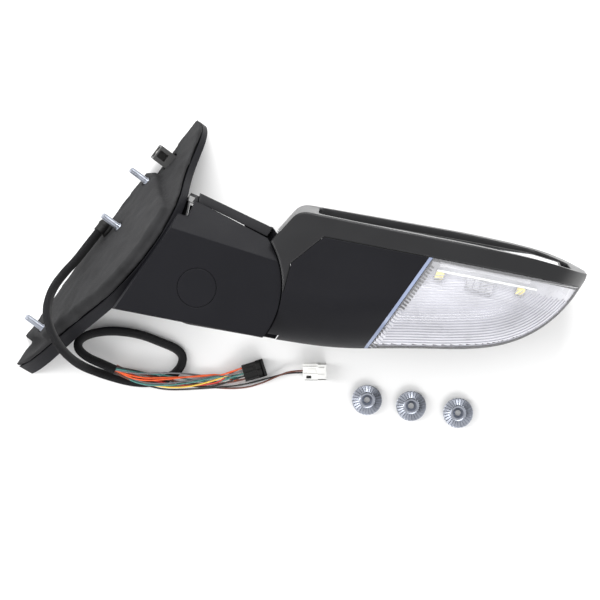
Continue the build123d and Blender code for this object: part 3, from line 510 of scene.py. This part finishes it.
def threaded_studs():
    verts, faces = [], []
    count, pitch, depth = 20, 1.0, 0.32
    mounts = [m for m in frame["record"]["mounts"] if m["name"].startswith("stud_")]
    for m in mounts:
        axis = Vector(m["axis"]).normalized()
        half = m["dims"]["length_mm"] / 2 + 0.3
        middle = Vector(m["pos_m"]) - axis * 0.3 * MM
        turn = axis.to_track_quat("Z", "Y").to_matrix()
        rings = int(2 * half / pitch * 6)
        base = len(verts)
        for i in range(rings + 1):
            z = -half + 2 * half * i / rings
            taper = max(0.0, z - half + 1.2)
            for j in range(count):
                a = 2 * math.pi * j / count
                wave = abs(((z / pitch - j / count) % 1.0) * 2 - 1)
                r = m["dims"]["r_mm"] - depth * wave - taper * 0.6
                verts.append(middle + turn @ Vector((r * math.cos(a), r * math.sin(a), z)) * MM)
        faces.extend([tuple(base + k for k in f) for f in tube_faces(rings + 1, count)])
        base = len(verts)
        for z, r in ((-half - 9, 3.55), (-half, 3.55), (-half + 0.3, 3.3), (-half + 0.4, 2.6)):
            for j in range(count):
                a = 2 * math.pi * j / count
                verts.append(middle + turn @ Vector((r * math.cos(a), r * math.sin(a), z)) * MM)
        faces.extend([tuple(base + k for k in f) for f in tube_faces(4, count)])
    obj = new_piece("threaded_studs", verts, faces, "zinc", "base", "zinc")
    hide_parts("mounting_studs")


# ---- lens and lamp -----------------------------------------------------------------------------------
FRONTS = [(147, -28.3), (185, -21.0), (230, -13.0), (270, -2.0), (300, 16.5), (322, 43.0), (333, 67.0)]


def front_line(x):
    """Foremost y of the head at x, a smooth line through the sections' noses."""
    for i in range(len(FRONTS) - 1):
        (x0, y0), (x1, y1) = FRONTS[i], FRONTS[i + 1]
        if x <= x1 or i == len(FRONTS) - 2:
            xa, ya = FRONTS[max(i - 1, 0)]
            xb, yb = FRONTS[min(i + 2, len(FRONTS) - 1)]
            m0, m1 = (y1 - ya) / (x1 - xa), (yb - y0) / (xb - x0)
            h, t = x1 - x0, (x - x0) / (x1 - x0)
            return ((2 * t ** 3 - 3 * t * t + 1) * y0 + (t ** 3 - 2 * t * t + t) * h * m0
                    + (3 * t * t - 2 * t ** 3) * y1 + (t ** 3 - t * t) * h * m1)
    return FRONTS[-1][1]


LENS_EDGE = [(192.4, 61.0), (154.3, -23.0), (147.0, -45.0)]


def inside_edge(x, y, margin):
    """How far a point is outboard of the lens's inboard edge."""
    (ax, ay), (bx, by) = LENS_EDGE[0], LENS_EDGE[1]
    if y < by:
        (ax, ay), (bx, by) = LENS_EDGE[1], LENS_EDGE[2]
    k = (y - ay) / (by - ay)
    return x - (ax + (bx - ax) * k) > margin


def strip_tube(verts, faces, points, radius):
    """Thin ridge with a diamond section along a line of points in metres."""
    base = len(verts)
    for i, p in enumerate(points):
        ahead = points[min(i + 1, len(points) - 1)] - points[max(i - 1, 0)]
        side = Vector((ahead.y, -ahead.x, 0)).normalized() * radius
        up = Vector((0, 0, radius))
        verts.extend([p + side, p + up, p - side, p - up])
    faces.extend([tuple(base + k for k in f) for f in tube_faces(len(points), 4)])


def lens_tree():
    """The CAD lens as a tree that rays can be cast at."""
    lens = NODES["signal_lens"]
    return BVHTree.FromPolygons([v.co.copy() for v in lens.data.vertices],
                                [tuple(p.vertices) for p in lens.data.polygons])


def drop_on(tree, x, y):
    """The point of the lens straight below a place high above it, or None beside the lens."""
    return tree.ray_cast(at(x, y, 300), Vector((0, 0, -1)))[0]


def lens_ribs():
    """Fine ribs inside the lens, parallel to its outer edge."""
    tree = lens_tree()
    verts, faces = [], []
    outline = []
    for i in range(90):
        x = 146 + 187.5 * i / 89
        outline.append(Vector((x, front_line(x), 0)))
    for k in range(36):
        depth = 3.2 + 2.35 * k
        run = []
        for i, p in enumerate(outline):
            ahead = outline[min(i + 1, 89)] - outline[max(i - 1, 0)]
            inward = Vector((-ahead.y, ahead.x, 0)).normalized()
            q = p + inward * depth
            ok = inside_edge(q.x, q.y, 9.0) and q.y < 49.0
            hit = drop_on(tree, q.x, q.y) if ok else None
            if hit is None:
                if len(run) > 3:
                    strip_tube(verts, faces, run, 0.42 * MM)
                run = []
            else:
                run.append(hit - Vector((0, 0, 3.7 * MM)))
        if len(run) > 3:
            strip_tube(verts, faces, run, 0.42 * MM)
    new_piece("lens_ribs", verts, faces, "rib_grey", "head", "clear_lens", smooth=False)


def lens_backing():
    """Pale reflector under the lens, deeper at the rear where the lamps stand on it."""
    tree = lens_tree()
    index, verts, faces = {}, [], []
    for i in range(126):
        for j in range(70):
            x, y = 147 + 1.5 * i, -42 + 1.5 * j
            if y > 58.5 or not inside_edge(x, y, 4.5) or y < front_line(x) + 3.0:
                continue
            hit = drop_on(tree, x, y)
            if hit is None:
                continue
            k = min(1.0, max(0.0, (y - 34.0) / 6.0))
            depth = 4.8 + 3.9 * k * k * (3 - 2 * k)
            index[i, j] = len(verts)
            verts.append(hit - Vector((0, 0, depth * MM)))
    for (i, j) in index:
        corners = [index.get(c) for c in ((i, j), (i + 1, j), (i + 1, j + 1), (i, j + 1))]
        if None not in corners:
            faces.append(tuple(corners))
    new_piece("lens_backing", verts, faces, "lamp_white", "head", "lamp_white")


def edge_louvres():
    """Short bars across the inboard edge of the lens: black in the rear half, pale towards the front."""
    tree = lens_tree()
    start, end = Vector((*LENS_EDGE[0], 0)), Vector((*LENS_EDGE[1], 0))
    along = (end - start).normalized()
    across = Vector((-along.y, along.x, 0))
    groups = {"dark": ([], []), "pale": ([], [])}
    for i in range(29):
        group = groups["dark" if i < 15 else "pale"]
        centre = start + along * (5.0 + 3.1 * i) + across * 3.6
        points = []
        for step in range(6):
            q = centre + across * (5.2 * step / 5)
            hit = drop_on(tree, q.x, q.y)
            if hit is not None:
                points.append(hit - Vector((0, 0, 3.8 * MM)))
        if len(points) > 3:
            strip_tube(group[0], group[1], points, (0.85 if i < 15 else 0.4) * MM)
    new_piece("edge_louvres_dark", *groups["dark"], "dark_inside", "head", "black_plastic", smooth=False)
    new_piece("edge_louvres_pale", *groups["pale"], "rib_grey", "head", "clear_lens", smooth=False)


def lamp_details():
    """Clear holders round the LEDs and the small block of the puddle lamp."""
    for i, (x, z) in enumerate(((204.5, 139.3), (276.0, 132.7))):
        place = Matrix.Translation(at(x, 47.5, z)) @ Matrix.Rotation(math.radians(-14), 4, "Z")
        items = [((-4.6, -4.6, -1.9), (-3.4, 4.2, 1.5)), ((3.4, -4.6, -1.9), (4.6, 4.2, 1.5)),
                 ((-4.6, 3.2, -1.9), (4.6, 4.4, 1.5)), ((-3.0, -5.6, -1.9), (3.0, -4.6, 0.6))]
        boxes(f"led_holder_{i}", items, "chrome_optic", "head", place, 0.35)
    items = [((-12, -5.5, -2.0), (12, -4.3, 1.6)), ((-12, 4.2, -2.0), (12, 5.2, 1.8)),
             ((-12, -5.5, -2.0), (-10.8, 5, 1.4)), ((10.6, -5.5, -2.0), (12, 5, 1.4)),
             ((-6, -5, -1.6), (-5, 5, 1.7)), ((0, -5, -1.6), (1, 5, 1.7)), ((5.6, -5, -1.6), (6.6, 5, 1.7))]
    place = Matrix.Translation(at(240, 45.3, 139.0)) @ Matrix.Rotation(math.radians(-8), 4, "Z")
    boxes("puddle_lamp_facets", items, "chrome_optic", "head", place, 0.3)


# ---- foot ----------------------------------------------------------------------------------------------
def soft_seal():
    """The foam gasket, remeshed so that its surface can dent and swell a little."""
    source = NODES["base_seal"]
    obj = bpy.data.objects.new("foam_gasket", source.data.copy())
    bpy.context.scene.collection.objects.link(obj)
    remesh = obj.modifiers.new("remesh", "REMESH")
    remesh.mode = "VOXEL"
    remesh.voxel_size = 1.6 * MM
    clouds = bpy.data.textures.new("foam_dents", "CLOUDS")
    clouds.noise_scale = 0.022
    clouds.noise_depth = 1
    dents = obj.modifiers.new("dents", "DISPLACE")
    dents.texture = clouds
    dents.texture_coords = "LOCAL"
    dents.strength = 2.2 * MM
    dents.mid_level = 0.62
    smooth = obj.modifiers.new("smooth", "SMOOTH")
    smooth.iterations = 4
    bpy.context.view_layer.update()
    mesh = bpy.data.meshes.new_from_object(obj.evaluated_get(bpy.context.evaluated_depsgraph_get()))
    obj.modifiers.clear()
    obj.data = mesh
    low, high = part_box("base_seal")
    for v in mesh.vertices:
        v.co = Vector([min(max(c, a), b) for c, a, b in zip(v.co, low, high)])
    mesh.shade_smooth()
    dress(obj, "foam")
    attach(obj, "base")
    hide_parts("base_seal")


ARM_FRONT = -34.5       # y of the arm's front face


def trimmed_arm_floor():
    """The arm's floor plate, cut back to stay behind the arm's front face."""
    bm = bmesh.new()
    bm.from_mesh(NODES["arm_floor"].data)
    edge = at(0, ARM_FRONT + 0.6, 0)
    cut = bmesh.ops.bisect_plane(bm, geom=bm.verts[:] + bm.edges[:] + bm.faces[:], plane_co=edge,
                                 plane_no=(0, 1, 0), clear_inner=True)
    rim = [e for e in cut["geom_cut"] if isinstance(e, bmesh.types.BMEdge)]
    bmesh.ops.remove_doubles(bm, verts=bm.verts, dist=1e-6)
    bmesh.ops.holes_fill(bm, edges=[e for e in rim if e.is_valid], sides=0)
    mesh = bpy.data.meshes.new("arm_floor_trimmed")
    bm.to_mesh(mesh)
    bm.free()
    obj = bpy.data.objects.new("arm_floor_trimmed", mesh)
    bpy.context.scene.collection.objects.link(obj)
    dress(obj, "black_plastic")
    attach(obj, "base")
    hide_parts("arm_floor")


camera()
studio()
dress_cad()
wiring(*connectors())
nuts()
threaded_studs()
lens_backing()
lens_ribs()
edge_louvres()
lamp_details()
soft_seal()
trimmed_arm_floor()
